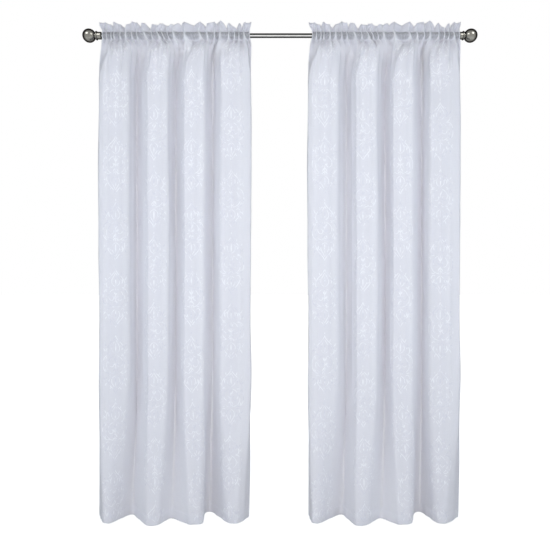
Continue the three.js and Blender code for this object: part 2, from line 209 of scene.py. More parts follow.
def rounded_line(corners, softness):
    """A line through the corners with each corner rounded."""
    points = [corners[:1]]
    for a, b, c, radius in zip(corners, corners[1:], corners[2:], softness * CORNERS["round"][1:]):
        before, after = np.linalg.norm(b - a), np.linalg.norm(c - b)
        reach = min(radius, MOST_ROUND * before, MOST_ROUND * after)
        start, end = b + (a - b) * reach / before, b + (c - b) * reach / after
        t = CURVE_T[:, None]
        points.append((1 - t) ** 2 * start + 2 * t * (1 - t) * b + t**2 * end)
    points.append(corners[-1:])
    return np.concatenate(points)


def cloth_line(z, depth, gather, share):
    """The cloth seen from above at one height: long folds with gathers on them."""
    line = rounded_line(*fold_corners(z, depth))
    length = np.concatenate([[0], np.cumsum(np.linalg.norm(np.diff(line, axis=0), axis=1))])
    along = np.gradient(line, axis=0)
    along /= np.linalg.norm(along, axis=1)[:, None] + 1e-12
    open_ = opened(z)
    at = (gathered_x(share) / GATHERED_WIDTH * (1 - open_) + share * open_) * length[-1]
    x, y = np.interp(at, length, line[:, 0]), np.interp(at, length, line[:, 1])
    nx, ny = -np.interp(at, length, along[:, 1]), np.interp(at, length, along[:, 0])
    ripple = gather * half_waves(share, "y", NARROW_RIDGE)
    return np.stack([x + ripple * nx, y + ripple * ny], axis=1)


COARSE = np.linspace(0, 1, 401)  # places across the cloth at which its width is measured


def depths_at(z):
    """Depth of the long folds and of the gathers, so that the cloth keeps its width."""
    if z >= SEAM_BELOW:
        return 0.0, 1.0

    def width(depth, gather):
        points = cloth_line(z, depth, gather, COARSE)
        return np.linalg.norm(np.diff(points, axis=0), axis=1).sum()

    depth = opened(z) * solve(lambda d: width(d, 0.0), FLAT_WIDTH, 0.0, 2.5)
    return depth, solve(lambda g: width(depth, g), FLAT_WIDTH, 0.0, 2.5)


# ---------------------------------------------------------------------------------------------
# Creases and unevenness laid on the folds
# ---------------------------------------------------------------------------------------------

# Soft troughs (depth above 0) and ridges (below 0), by place from the panel's left edge: place of
# the upper and lower end, heights of the two ends, depth and half width, millimetres.
CREASE_COLUMNS = ("place_up", "place_low", "up", "low", "depth", "wide")
CREASES = (
    (24, 20, -24, -150, 3.0, 5.0),
    (39, 33, -22, -190, -5.0, 5.6),
    (52, 53, -16, -95, 6.2, 4),
    (66, 68, -26, -170, 3.5, 5.6),
    (82, 84, -24, -230, -5.0, 5.0),
    (101, 98, -24, -160, 2.8, 5.0),
    (171, 184, -16, -105, 6.2, 4),
    (193, 201, -18, -300, -4.4, 4.3),
    (228, 226, -22, -150, 4.2, 6.2),
    (247, 240, -24, -200, -4.0, 5.0),
    (256, 276, -30, -130, -3.0, 4),
    (357, 354, -20, -150, 4.5, 4),
    (366, 364, -22, -330, -5.0, 4.3),
    (381, 397, -16, -140, -3.8, 4),
    (407, 404, -20, -130, 3.8, 7.4),
    (436, 436, -18, -260, -4.0, 5.6),
    (479, 480, -22, -240, 4.2, 6.8),
    (515, 517, -20, -280, -4.2, 4.3),
    (541, 531, -16, -150, 6.2, 4),
    (550, 554, -22, -180, -4.5, 4.3),
    (572, 566, -26, -140, 3.0, 5.6),
    (594, 590, -18, -230, -4.8, 4.3),
    (609, 612, -22, -190, 4.2, 5.0),
    (622, 628, -10, -120, -5.2, 4),
    (633, 634, -16, -110, 3.8, 4),
    (36, 30, -640, -1500, 1.8, 16),
    (86, 70, -420, -1250, -1.6, 20),
    (232, 222, -560, -1500, 1.6, 18),
    (262, 250, -300, -1300, -1.6, 14),
    (404, 398, -500, -1450, 1.7, 18),
    (552, 540, -420, -1600, 1.8, 16),
    (606, 590, -700, -1700, -1.8, 18),
    (24, 22, -1560, -2075, 2.0, 12),
    (56, 48, -1500, -2075, -2.2, 14),
    (214, 206, -1560, -2075, -2.2, 16),
    (398, 402, -1600, -2075, 2.2, 18),
    (428, 420, -1480, -2075, -2.0, 12),
    (566, 562, -1500, -2075, 2.2, 16),
    (600, 588, -1620, -2075, -2.2, 14),
)
CREASE_START = 0.45  # how wide a crease is at its upper end, against its full width
FADE_SHORT, FADE_LONG = 0.022, 0.180  # how far a crease takes to appear, at the pocket and below


def crease_depth(x, z):
    """How far the creases push the cloth towards the wall at each hung place."""
    total = np.zeros(x.shape)
    for row in CREASES:
        crease = dict(zip(CREASE_COLUMNS, row))
        up, low = crease["up"] * MM, crease["low"] * MM
        t = np.clip((up - z) / (up - low), 0, 1)
        at = (crease["place_up"] + (crease["place_low"] - crease["place_up"]) * t) * MM
        fade = smooth((up - z) / (FADE_SHORT if up > -0.1 else FADE_LONG))
        if low > HEM_BOTTOM + 1e-6:
            fade = fade * smooth((z - low) / (0.6 * (up - low)))
        wide = crease["wide"] * MM * (CREASE_START + (1 - CREASE_START) * t)
        total += crease["depth"] * MM * np.exp(-(((x - at) / wide) ** 2)) * fade
    return total


# Waves of low unevenness: how many across and along the cloth, start, and height in millimetres.
UNEVEN = (
    (3.0, 0.7, 0.4, 1.5),
    (5.3, 1.1, 1.9, 1.1),
    (8.7, -1.9, 3.1, 0.7),
    (13.1, 2.7, 5.2, 0.45),
    (21.7, -3.9, 0.8, 0.25),
    (34.3, 5.3, 2.6, 0.16),
)


def unevenness(share, z):
    total = np.zeros(np.broadcast(share, z).shape)
    for across, along, start, height in UNEVEN:
        total += height * MM * np.sin(2 * np.pi * (across * share + along * z) + start)
    return total * smooth((SEAM_BELOW - z) / 0.25)


# ---------------------------------------------------------------------------------------------
# The cloth as grids of points: rows up the cloth, columns across it
# ---------------------------------------------------------------------------------------------

COLUMNS = 401
SHARE = np.linspace(0, 1, COLUMNS)
POCKET_ROWS = 11
HEADING_ROWS = 10


def graded_rows(top, bottom, first, growth, most):
    """Heights from top to bottom, close together at the top and wider apart below."""
    rows, step = [top], first
    while rows[-1] - step > bottom:
        rows.append(rows[-1] - step)
        step = min(step * growth, most)
    return rows


BODY_Z = np.array(
    [HEM_BOTTOM, HEM_BOTTOM + 0.004, HEM_BOTTOM + 0.014, HEM_BOTTOM + 0.026, HEM_TOP - 0.003]
    + [HEM_TOP, HEM_TOP + 0.0015, HEM_TOP + 0.006]
    + graded_rows(SEAM_BELOW - 0.003, HEM_TOP + 0.016, 0.004, 1.09, 0.047)[::-1]
)


def bulge(z):
    """How far round the rod a pocket layer has come at a height: 0 at the seams, 1 between."""
    edge = np.where(z > 0, SEAM_ABOVE, -SEAM_BELOW)
    return np.clip(1 - (z / edge) ** 2, 0, 1) ** 1.1


HEM_PUCKER = (0.5 * MM, 0.0185, 0.012)  # height, spacing along the seam, reach to either side
POCKET_PUCKER = (0.9 * MM, 0.0078, 0.006)


def seam_pucker(share, z, seam, pucker):
    """Small dimples where a row of stitches draws the cloth in."""
    height, spacing, reach = pucker
    along = 2 * np.pi * share * FLAT_WIDTH / spacing
    uneven = 1 + 0.6 * np.sin(0.23 * along + 1.0)
    return height * uneven * np.sin(along) * np.exp(-(((z - seam) / reach) ** 2))


PINCH, PINCH_REACH, PINCH_SHARP = 7.0 * MM, 0.014, 3  # depth, height and sharpness of a tail


def pinch(share, z):
    """The hollows are drawn in just below the pocket, like small tails."""
    below = np.clip(SEAM_BELOW - z, 0, None) / PINCH_REACH
    uneven = 0.75 + 0.35 * np.sin(share * FLAT_WIDTH / 0.031 + 0.6)
    return PINCH * uneven * hollow_share(share) ** PINCH_SHARP * below * np.exp(1 - below)


def body_grid():
    rows = []
    for z in BODY_Z:
        depth, gather = depths_at(z)
        rows.append(cloth_line(z, depth, gather, SHARE))
    points = np.array(rows)
    along = np.gradient(points, axis=1)
    along /= np.linalg.norm(along, axis=2)[:, :, None]
    z = np.repeat(BODY_Z[:, None], COLUMNS, axis=1)
    push = crease_depth(points[:, :, 0], z) + unevenness(SHARE[None, :], z) + pinch(SHARE[None, :], z)
    push += seam_pucker(SHARE, z, HEM_TOP, HEM_PUCKER) + seam_pucker(SHARE, z, SEAM_BELOW, POCKET_PUCKER)
    x = points[:, :, 0] - push * along[:, :, 1]
    y = points[:, :, 1] + push * along[:, :, 0]
    return np.stack([x, y, z], axis=2)


CLEAR_ROD = ROD_RADIUS + 0.9 * MM  # the pocket's layers run this far from the rod's axis
RIDGE_OUT = 7 * MM  # how far a ridge swells between the pocket's seams


def clear_of_rod(z):
    """How far out the cloth has to stay at a height to pass the rod."""
    return np.where(np.abs(z) < CLEAR_ROD, np.sqrt(np.clip(CLEAR_ROD**2 - z**2, 0, None)), -np.inf)


def pocket_grid(side, seam_row):
    """One layer of the pocket: side -1 passes in front of the rod, +1 behind it."""
    z = np.linspace(SEAM_BELOW, SEAM_ABOVE, POCKET_ROWS)[:, None]
    seam_y = seam_row[None, :, 1]
    rise = half_waves(SHARE, "rise", NARROW_RIDGE)[None, :]
    hollow = hollow_share(SHARE, NARROW_RIDGE)[None, :]
    hollow = hollow if side < 0 else 1 - hollow
    ridge_out = np.clip(CLEAR_ROD - rise, 0, None) + RIDGE_OUT
    out = hollow * (CLEAR_ROD + rise) + (1 - hollow) * ridge_out
    y = side * np.maximum(side * seam_y + out * bulge(z), clear_of_rod(z))
    for seam in (SEAM_BELOW, SEAM_ABOVE):
        y = y + seam_pucker(SHARE[None, :], z, seam, POCKET_PUCKER)
    x = np.repeat(seam_row[None, :, 0], POCKET_ROWS, axis=0)
    return np.stack([x, y, np.repeat(z, COLUMNS, axis=1)], axis=2)


# The ruffle above the rod, one row per lobe: where it starts, peaks and ends, the heights there,
# how far it comes to the room, and its lean: 1 where it starts in front and ends behind.
LOBE_COLUMNS = ("start", "low", "peak", "high", "end", "fall", "forward", "lean")
LOBES = (
    (-12, 53, 6, 56, 49, 45, 6, 0.4),
    (49, 45, 57, 56, 98, 39, 8, 0.9),
    (98, 39, 140, 58, 168, 44, 9, -0.6),
    (168, 44, 174, 56, 211, 34, 8, 0.8),
    (211, 38, 226, 50, 247, 44, 6, -0.5),
    (247, 44, 255, 52, 290, 43, 7, 0.8),
    (290, 43, 300, 51, 313, 43, 5, 0.0),
    (313, 43, 333, 55, 341, 48, 5, -0.6),
    (341, 48, 354, 55, 399, 50, 8, 0.7),
    (399, 50, 428, 55, 450, 42, 9, -0.4),
    (450, 42, 480, 60, 493, 55, 7, 0.5),
    (493, 55, 514, 61, 537, 35, 8, -0.6),
    (537, 37, 548, 51, 580, 31, 7, 0.8),
    (580, 31, 597, 52, 603, 36, 5, -0.4),
    (603, 36, 617, 55, 656, 60, 6, 0.5),
)
LEAN_TURN = 0.14  # share of a leaning lobe in which it comes back from its far end
LOBE_ROUND = (0.8, 1.6)  # how full a lobe's rise and fall are
LOBE_SQUARE = 2.6  # above 2, a lobe is flatter and folds back more sharply at its ends


def ruffle(x):
    """Height of the ruffle's top edge, and how far it stands from the panel's plane."""
    height, y = np.zeros(x.shape), np.zeros(x.shape)
    for row in LOBES:
        *lengths, lean = row
        lobe = {name: value * MM for name, value in zip(LOBE_COLUMNS, lengths)}
        inside = (x >= lobe["start"]) & (x <= lobe["end"])
        up = np.clip((x - lobe["start"]) / (lobe["peak"] - lobe["start"]), 0, 1)
        down = np.clip((x - lobe["peak"]) / (lobe["end"] - lobe["peak"]), 0, 1)
        rising = lobe["low"] + (lobe["high"] - lobe["low"]) * np.sin(np.pi / 2 * up) ** LOBE_ROUND[0]
        falling = (lobe["high"] - lobe["fall"]) * down ** LOBE_ROUND[1]
        across = np.clip((x - lobe["start"]) / (lobe["end"] - lobe["start"]), 0, 1)
        domed = 2 * np.abs(2 * across - 1) ** LOBE_SQUARE - 1
        run = across if lean > 0 else 1 - across
        back_in = 1 - 2 * smooth(run / LEAN_TURN)
        turned = np.where(run < LEAN_TURN, back_in, 2 * (run - LEAN_TURN) / (1 - LEAN_TURN) - 1)
        forward = lobe["forward"] * (domed + (turned - domed) * abs(lean))
        height = np.where(inside, rising - falling, height)
        y = np.where(inside, forward, y)
    return height, y


RUFFLE_FREE = 0.35  # the gathers start to ease out this far up the ruffle
RUFFLE_KEEPS = 0.75  # share of the gathers left at its top edge
LIP, LIP_POWER = 3.0 * MM, 7  # how far its top edge curls back


def heading_grid(seam_row):
    rise = np.linspace(0, 1, HEADING_ROWS)[1:, None]
    side = 2 * seam_row[None, :, 0] / GATHERED_WIDTH - 1
    most, power = HEADING_FLARE
    x = seam_row[None, :, 0] + most * rise * np.sign(side) * np.abs(side) ** power
    top = ruffle(x[-1:])[0]
    top = (np.roll(top, 1) + 2 * top + np.roll(top, -1)) / 4
    top[:, [0, -1]] = top[:, [1, -2]]
    z = SEAM_ABOVE + (top - SEAM_ABOVE) * rise
    settle = smooth((rise - RUFFLE_FREE) / (1 - RUFFLE_FREE))
    gathers = seam_row[None, :, 1] * (1 - (1 - RUFFLE_KEEPS) * settle)
    return np.stack([x, gathers + ruffle(x)[1] * settle + LIP * rise**LIP_POWER, z], axis=2)


# How the gathers slant as they cross the pocket: place along the rod, slant sideways per height.
SLANTS = (
    (0, 0.05), (100, 0.0), (150, -0.1), (185, -0.45), (215, -0.1), (250, -0.5), (300, -0.25),
    (350, 0.0), (380, -0.4), (436, -0.35), (470, -0.05), (520, 0.1), (600, 0.0), (622, -0.3),
    (638, -0.05),
)
SLANT_REACH = 0.028  # the slant goes on this far from the rod, then eases out
SLANT_EASE = 0.150
SLANT_STRAIGHTENS = (0.8, 0.030)  # share of it lost in the ruffle, and over what height
END_TUCK = (0.008, 0.030, 0.120)  # how far the left end is drawn in, over what width and height
TUCK_EASE = 0.035  # the ruffle is free of the tuck this far above the rod


def slanted(grid):
    """Leans the gathers sideways across the pocket."""
    places, slants = (np.array(column) for column in zip(*SLANTS))
    slant = np.interp(SHARE, np.interp(places * MM, KNOTS["x"], KNOTS["share"]), slants)
    z = grid[:, :, 2]
    reach = np.clip(z, -SLANT_REACH, SEAM_ABOVE)
    lost, over = SLANT_STRAIGHTENS
    ease_up = 1 - lost * smooth((z - SEAM_ABOVE) / over)
    ease = np.where(z > 0, ease_up, smooth(1 + (z + SLANT_REACH) / SLANT_EASE))
    shifted = grid.copy()
    shifted[:, :, 0] += slant[None, :] * reach * ease
    tuck, wide, high = END_TUCK
    tucked = np.exp(-grid[:, :, 0] / wide) * smooth((z + high) / high)
    shifted[:, :, 0] += tuck * (tucked * (1 - smooth((z - SEAM_ABOVE / 2) / TUCK_EASE)))
    return shifted


def normals_of(grid):
    """Unit normals of a grid, towards the wall."""
    across, up = np.gradient(grid, axis=1), np.gradient(grid, axis=0)
    normal = np.cross(up, across)
    return normal / (np.linalg.norm(normal, axis=2)[:, :, None] + 1e-12)


def place(points, panel_x):
    """Turns the folds' walls towards the room's middle and moves the points to their panel."""
    placed = points.copy()
    z = points[..., 2]
    drop = np.clip(SEAM_BELOW - z, 0, None) / FOLDS_OPEN[0]
    open_ = 1 - np.exp(-(drop ** FOLDS_OPEN[1]))
    x = panel_x + points[..., 0]
    placed[..., 0] = x + open_ * points[..., 1] * (x - FAN_X) / FAN_REACH
    return placed


def thickness(z):
    """Thickness of the cloth over the grid: hems are turned, the heading is doubled."""
    thick = np.full(z.shape, LAYER)
    edge = np.minimum(SHARE, 1 - SHARE)[None, :] * FLAT_WIDTH
    thick = np.where((edge < SIDE_HEM) & (z < SEAM_BELOW), SIDE_HEM_THICK, thick)
    thick = np.where(z <= HEM_TOP + 1e-6, HEM_THICK, thick)
    return np.where(z >= SEAM_ABOVE - 1e-6, HEADING_THICK, thick)


def folded_cloth():
    """Front and back grids of one hung panel, its left edge at the frame's middle."""
    body = body_grid()
    seam_row = cloth_line(SEAM_ABOVE, 0.0, 1.0, SHARE)
    heading = heading_grid(seam_row)
    layers = [np.concatenate([body, pocket_grid(side, seam_row), heading]) for side in (-1, 1)]
    return [slanted(layer) for layer in layers]


SEAM_ROW = len(BODY_Z)  # row of the pocket's lower seam
UPPER_SEAM_ROW = SEAM_ROW + POCKET_ROWS - 1
ROW_HEIGHTS = np.concatenate([BODY_Z, [SEAM_BELOW]])


class Panel:
    """The grids of one hung panel, placed: faces, normals towards the wall, half thickness."""

    def __init__(self, layers, panel_x):
        self.layers = [place(layer, panel_x) for layer in layers]
        self.normals = [normals_of(layer) for layer in self.layers]
        self.half = thickness(self.layers[0][:, :, 2])[:, :, None] / 2

    def face(self, side, column, row, lift):
        """Points on a face (0 front, 1 back) at fractional columns and rows, raised by a lift."""
        c = np.minimum(column.astype(int), COLUMNS - 2)
        r = np.minimum(row.astype(int), len(self.half) - 2)
        tc, tr = (column - c)[..., None], (row - r)[..., None]

        def read(grid):
            low = grid[r, c] * (1 - tc) + grid[r, c + 1] * tc
            high = grid[r + 1, c] * (1 - tc) + grid[r + 1, c + 1] * tc
            return low * (1 - tr) + high * tr

        outward = read(self.normals[side]) * (1 if side else -1)
        return read(self.layers[side]) + outward * (read(self.half) + lift[..., None])


# ---------------------------------------------------------------------------------------------
# Meshes from arrays
# ---------------------------------------------------------------------------------------------


def make_mesh(name, vertices, faces, material, sharp_angle=50):
    mesh = bpy.data.meshes.new(name)
    mesh.from_pydata([tuple(v) for v in vertices], [], [tuple(f) for f in faces])
    mesh.validate()
    mesh.polygons.foreach_set("use_smooth", [True] * len(mesh.polygons))
    mesh.set_sharp_from_angle(angle=math.radians(sharp_angle))
    obj = bpy.data.objects.new(name, mesh)
    bpy.context.collection.objects.link(obj)
    mesh.materials.append(material)
    return obj


def add_flat_map(obj, flat):
    """Stores each vertex's place on the cloth laid flat, in metres, as a UV map."""
    mesh = obj.data
    layer = mesh.uv_layers.new(name="flat")
    corner = np.empty(len(mesh.loops), dtype=np.int64)
    mesh.loops.foreach_get("vertex_index", corner)
    layer.data.foreach_set("uv", flat[corner].astype(np.float32).ravel())


def strip_faces(loop, per_column, columns):
    """Faces between neighbouring columns, round one closed loop of a column's points."""
    loop = np.array(loop)
    a, b = loop, np.roll(loop, -1)
    here = (np.arange(columns - 1) * per_column)[:, None]
    faces = np.stack([here + a, here + per_column + a, here + per_column + b, here + b], axis=2)
    return faces.reshape(-1, 4)


WIDE_SHADE = 0.30  # the painted shade of a wide hollow is lighter by this
ROD_SHADE_OVALS = (0.001, 0.0172, 0.80)  # middle height and half height of the ovals of painted shade over the rod, half width
OVAL_EDGE = (1.25, 0.8)  # where an oval ends, and how softly
RUFFLE_SHADE = (0.026, 0.014, 0.30)  # height, reach and strength of painted shade in the hollows above the pocket
TAIL_SHADE = (-0.022, 0.012, 0.35)  # the same painted shade, for the tails below the pocket
RIDGE_HIGHLIGHT_REACH = (-0.002, 0.028)  # the painted highlight on the tight ridges is strongest at this height, and fades over this reach


def rod_shade(hollow, z):
    """Painted shade: how much the rod behind the cloth and the tight hollows darken its colour: ovals on
    the rod, with tails.
    """
    middle, high, wide = ROD_SHADE_OVALS
    across = ((z - middle) / high) ** 2 + ((1 - hollow) / wide) ** 2
    shade = smooth((OVAL_EDGE[0] - across) / OVAL_EDGE[1])
    for place_z, reach, strength in (RUFFLE_SHADE, TAIL_SHADE):
        shade = np.maximum(shade, strength * hollow**5 * np.exp(-(((z - place_z) / reach) ** 2)))
    return shade


def add_masks(obj, z, in_front):
    """Stores masks of painted shade over the rod and in the hollows, and of a painted highlight on the
    tight ridges.
    """
    repeat = len(z) // COLUMNS
    hollow = np.repeat(hollow_share(SHARE, NARROW_RIDGE), repeat)
    hollow = np.where(in_front, hollow, 1 - hollow)
    wide = np.repeat(half_waves(SHARE, "rise") / np.max(KNOTS["rise"]), repeat)
    tight = np.exp(-(((z - RIDGE_HIGHLIGHT_REACH[0]) / RIDGE_HIGHLIGHT_REACH[1]) ** 2))
    masks = {
        "rod shade": rod_shade(hollow, z) * (1 - WIDE_SHADE * wide**2),
        # a painted highlight on the tight ridges
        "ridge": (1 - hollow) ** 2 * tight,
    }
    for name, values in masks.items():
        mask = obj.data.attributes.new(name, "FLOAT", "POINT")
        mask.data.foreach_set("value", values.astype(np.float32))


def panel_object(name, panel, material):
    """The cloth of one panel: front and back faces, with the rod's tunnel through the pocket."""
    (middle_front, middle_back), (normal_front, normal_back) = panel.layers, panel.normals
    front = middle_front - normal_front * panel.half
    back = middle_back + normal_back * panel.half
    ribs = slice(SEAM_ROW + 1, UPPER_SEAM_ROW)
    inner_front = (middle_front + normal_front * panel.half)[ribs]
    inner_back = (middle_back - normal_back * panel.half)[ribs]
    up = np.array([0, 0, MM])
    low, high = middle_front[SEAM_ROW] + 2.0 * up, middle_front[UPPER_SEAM_ROW] - 2.0 * up
    hem_edge, top_edge = middle_front[0] - 0.9 * up, middle_front[-1] + 0.8 * up

    rows = len(front)
    count = len(inner_front)
    edges = [low[None], high[None], hem_edge[None], top_edge[None]]
    column = np.concatenate([front, back, inner_front, inner_back] + edges)  # first axis: one column
    per_column = len(column)
    vertices = column.transpose(1, 0, 2).reshape(-1, 3)

    f = list(range(rows))
    b = list(range(rows, 2 * rows))
    fi = list(range(2 * rows, 2 * rows + count))
    bi = list(range(2 * rows + count, 2 * rows + 2 * count))
    lo, hi, hem, top = range(2 * rows + 2 * count, 2 * rows + 2 * count + 4)
    outer = [hem] + f + [top] + b[::-1]
    tunnel = [lo] + bi + [hi] + fi[::-1]
    faces = [strip_faces(loop, per_column, COLUMNS) for loop in (outer, tunnel)]

    seam, last = SEAM_ROW, UPPER_SEAM_ROW

    def layer(outside, inside):
        return [list(face) for face in zip(outside, outside[1:], inside[1:], inside)]

    ends = [[hem, f[0], b[0]], [f[seam], lo, b[seam]], [f[last], b[last], hi], [f[-1], top, b[-1]]]
    ends += layer(f[: seam + 1], b[: seam + 1])
    ends += layer(f[seam : last + 1], [lo] + fi + [hi])
    ends += layer([lo] + bi + [hi], b[seam : last + 1])
    ends += layer(f[last:], b[last:])
    shift = (COLUMNS - 1) * per_column
    ends += [[shift + i for i in face[::-1]] for face in ends]
    all_faces = [face for group in faces for face in group] + ends
    obj = make_mesh(name, vertices, all_faces, material, sharp_angle=62)

    add_masks(obj, vertices[:, 2], np.tile(np.arange(per_column) // rows != 1, COLUMNS))
    across = np.repeat(SHARE * FLAT_WIDTH, per_column)
    flat = np.stack([across, vertices[:, 2] - HEM_BOTTOM], axis=1)
    add_flat_map(obj, flat)
    return obj


# ---------------------------------------------------------------------------------------------
# Stitched motifs and seams: raised threads laid on the cloth
# ---------------------------------------------------------------------------------------------

STROKE_STEP = 6.0  # all sizes of the motif are millimetres, from its middle


def even_steps(line, step=STROKE_STEP):
    """The same line with points about a step apart."""
    length = np.concatenate([[0], np.cumsum(np.linalg.norm(np.diff(line, axis=0), axis=1))])
    at = np.linspace(0, length[-1], max(5, int(round(length[-1] / step)) + 1))
    return np.stack([np.interp(at, length, line[:, k]) for k in (0, 1)], axis=1)


def curve_through(points):
    """A smooth curve through a few points."""
    p = np.array(points, float)
    p = np.vstack([2 * p[0] - p[1], p, 2 * p[-1] - p[-2]])
    t = np.linspace(0, 1, 9)[:-1, None]
    parts = [
        0.5 * (2 * b + (c - a) * t + (2 * a - 5 * b + 4 * c - d) * t**2 + (3 * b - a - 3 * c + d) * t**3)
        for a, b, c, d in zip(p, p[1:], p[2:], p[3:])
    ]
    return even_steps(np.vstack(parts + [p[-2:-1]]))


def curl(x, y, heading, radius, turns):
    """A scroll that starts at a point with a heading and winds inwards; radius < 0 winds right."""
    t = np.linspace(0, 1, 25)
    hand = np.sign(radius)
    start = math.radians(heading) - hand * math.pi / 2
    turn = start + hand * 2 * math.pi * turns * t
    reach = abs(radius) * (1 - 0.7 * t)
    centre = np.array([x, y]) - abs(radius) * np.array([math.cos(start), math.sin(start)])
    return even_steps(centre + reach[:, None] * np.stack([np.cos(turn), np.sin(turn)], axis=1))


def blade(x, y, heading, length, bend):
    """The middle line of a leaf: from its base along a heading, bent sideways by its end."""
    t = np.linspace(0, 1, 6)
    along = np.array([math.cos(math.radians(heading)), math.sin(math.radians(heading))])
    across = np.array([-along[1], along[0]])
    return np.array([x, y]) + length * t[:, None] * along + bend * (t**2)[:, None] * across


# Right half of the motif; the left half is its mirror image.
LINES = (  # thread width, points
    (3.6, ((0, 124), (4, 112), (13, 100), (25, 88), (35, 74), (40, 60), (38, 48), (30, 42), (24, 48))),
    (3.6, ((23, 38), (38, 38), (49, 27), (54, 10), (54, -8), (49, -24), (40, -34), (28, -37), (21, -31))),
    (3.6, ((0, -124), (5, -112), (15, -99), (27, -85), (36, -70), (39, -57), (35, -47), (27, -44),
           (22, -50))),
    (3.0, ((0, 107), (6, 95), (14, 81), (17, 67), (12, 55), (0, 47))),
    (3.0, ((0, -107), (7, -93), (15, -79), (17, -65), (11, -54), (0, -47))),
    (3.0, ((6, 38), (19, 31), (29, 17), (29, 0), (20, -10), (10, -7), (9, 3), (16, 8))),
    (2.8, ((4, -40), (18, -35), (30, -27), (38, -13), (39, 4), (33, 14))),
    (2.4, ((0, 44), (0, 20), (0, -20), (0, -44))),
)
CURLS = (  # x, y, heading, radius, turns
    (24, 74, 80, 6, 1.0),
    (24, -74, -80, -6, 1.0),
    (45, 56, 60, -6, 0.9),
    (44, -58, -60, 6, 0.9),
)
CURL_THREAD = 2.8
BLADES = (  # x, y, heading, length, bend, width
    (0, 52, 90, 40, 0, 6.5),
    (0, -52, -90, 40, 0, 6.5),
    (26, 60, 70, 22, 5, 5.5),
    (26, -60, -70, 22, -5, 5.5),
    (38, 74, 48, 20, 5, 5.5),
    (43, 58, 26, 14, 5, 4.5),
    (37, -76, -48, 20, -5, 5.5),
    (43, -60, -26, 14, -5, 4.5),
    (20, 95, 58, 15, 4, 4.0),
    (20, -96, -58, 15, -4, 4.0),
    (1, 14, 58, 20, 4, 5.0),
    (1, -4, 48, 15, 4, 4.5),
    (1, -12, -50, 20, -4, 5.0),
    (1, -28, -30, 15, -4, 4.5),
    (44, 20, 120, 15, -3, 4.5),
    (45, -18, -120, 15, 3, 4.5),
    (0, 128, 90, 11, 0, 4.5),
)


def motif_strokes():
    """Every stroke of a motif as its middle line and its width along it."""
    right = []
    for width, points in LINES:
        line = curve_through(points)
        t = np.linspace(0, 1, len(line))
        right.append((line, width * np.clip(np.minimum(t, 1 - t) / 0.08 + 0.25, 0, 1)))
    for row in CURLS:
        line = curl(*row)
        right.append((line, CURL_THREAD * np.linspace(1, 0.5, len(line))))
    for x, y, heading, length, bend, width in BLADES:
        line = blade(x, y, heading, length, bend)
        right.append((line, width * (0.12 + 0.88 * np.sin(np.pi * np.linspace(0, 1, len(line)) ** 0.8))))
    left = [(line * (-1, 1), width) for line, width in right if np.abs(line[:, 0]).max() > 0.5]
    return right + left


def thread_ring_faces(count):
    """Faces of one stroke: three points a ring, closed at both ends."""
    faces = [(0, 2, 1), (3 * count - 3, 3 * count - 2, 3 * count - 1)]
    for ring in range(count - 1):
        for k in range(3):
            a, b = 3 * ring + k, 3 * ring + (k + 1) % 3
            faces.append((a, b, b + 3, a + 3))
    return faces


def threads_object(name, strokes, surface, material):
    """Strokes (flat middle line in metres, width, relief) as raised threads on a surface."""
    vertices, faces, runs = [], [], []
    count = 0
    for line, width, relief in strokes:
        along = np.gradient(line, axis=0)
        along /= np.linalg.norm(along, axis=1)[:, None] + 1e-12
        across = np.stack([-along[:, 1], along[:, 0]], axis=1) * width[:, None] / 2
        ring = np.stack([line - across, line, line + across], axis=1)
        lift = np.repeat(np.array([[-THREAD_SINKS, relief, -THREAD_SINKS]]), len(line), axis=0)
        lift[:, 1] *= np.clip(width / (width.max() + 1e-9), 0.3, 1)
        vertices.append(surface(ring[:, :, 0], ring[:, :, 1], lift).reshape(-1, 3))
        faces += [tuple(count + i for i in face) for face in thread_ring_faces(len(line))]
        length = np.concatenate([[0], np.cumsum(np.linalg.norm(np.diff(line, axis=0), axis=1))])
        side = np.stack([-width / 2, 0 * width, width / 2], axis=1)
        runs.append(np.stack([np.repeat(length[:, None], 3, axis=1), side], axis=2).reshape(-1, 2))
        count += 3 * len(line)
    obj = make_mesh(name, np.concatenate(vertices), faces, material, sharp_angle=80)
    add_flat_map(obj, np.concatenate(runs))
    return obj


MOTIFS_ACROSS = 4
FIRST_COLUMN, COLUMN_PITCH = 0.132, 0.271
MOTIF_PITCH = 0.281
FIRST_MOTIF = -0.843  # height of the middle of one motif in the first column
MOTIF_TOP, MOTIF_BOTTOM = -0.026, HEM_BOTTOM + 0.003
MOTIFS_BELOW, MOTIFS_ABOVE = 6, 4  # of it in a column
MOTIF_RELIEF = 0.7 * MM


def motif_layout():
    """Strokes of all motifs of a panel: columns a half step apart, cut off at pocket and hem."""
    strokes = []
    motif = motif_strokes()
    for column in range(MOTIFS_ACROSS):
        across = FIRST_COLUMN + column * COLUMN_PITCH
        middle = FIRST_MOTIF + (column % 2) * MOTIF_PITCH / 2
        for step in range(-MOTIFS_BELOW, MOTIFS_ABOVE + 1):
            up = middle + step * MOTIF_PITCH
            for line, width in motif:
                placed = line * MM + (across, up)
                inside = (placed[:, 1] < MOTIF_TOP) & (placed[:, 1] > MOTIF_BOTTOM)
                if inside.sum() > 2:
                    strokes.append((placed[inside], width[inside] * MM, MOTIF_RELIEF))
    return strokes


STITCH, STITCH_GAP, STITCH_WIDTH, STITCH_RELIEF = 3.0 * MM, 1.3 * MM, 0.9 * MM, 0.35 * MM
THREAD_SINKS = 0.15 * MM  # a thread's edges lie this far into the cloth


def stitch_row(start, end):
    """A row of short stitches between two flat points."""
    start, end = np.array(start, float), np.array(end, float)
    length = np.linalg.norm(end - start)
    count = int(length / (STITCH + STITCH_GAP))
    along = (end - start) / length
    width = STITCH_WIDTH * np.array([0.35, 1.0, 0.35])
    rows = []
    for i in range(count):
        first = start + along * (i * (STITCH + STITCH_GAP) + STITCH_GAP / 2)
        line = first + np.array([0, 0.5, 1])[:, None] * STITCH * along
        rows.append((line, width, STITCH_RELIEF))
    return rows


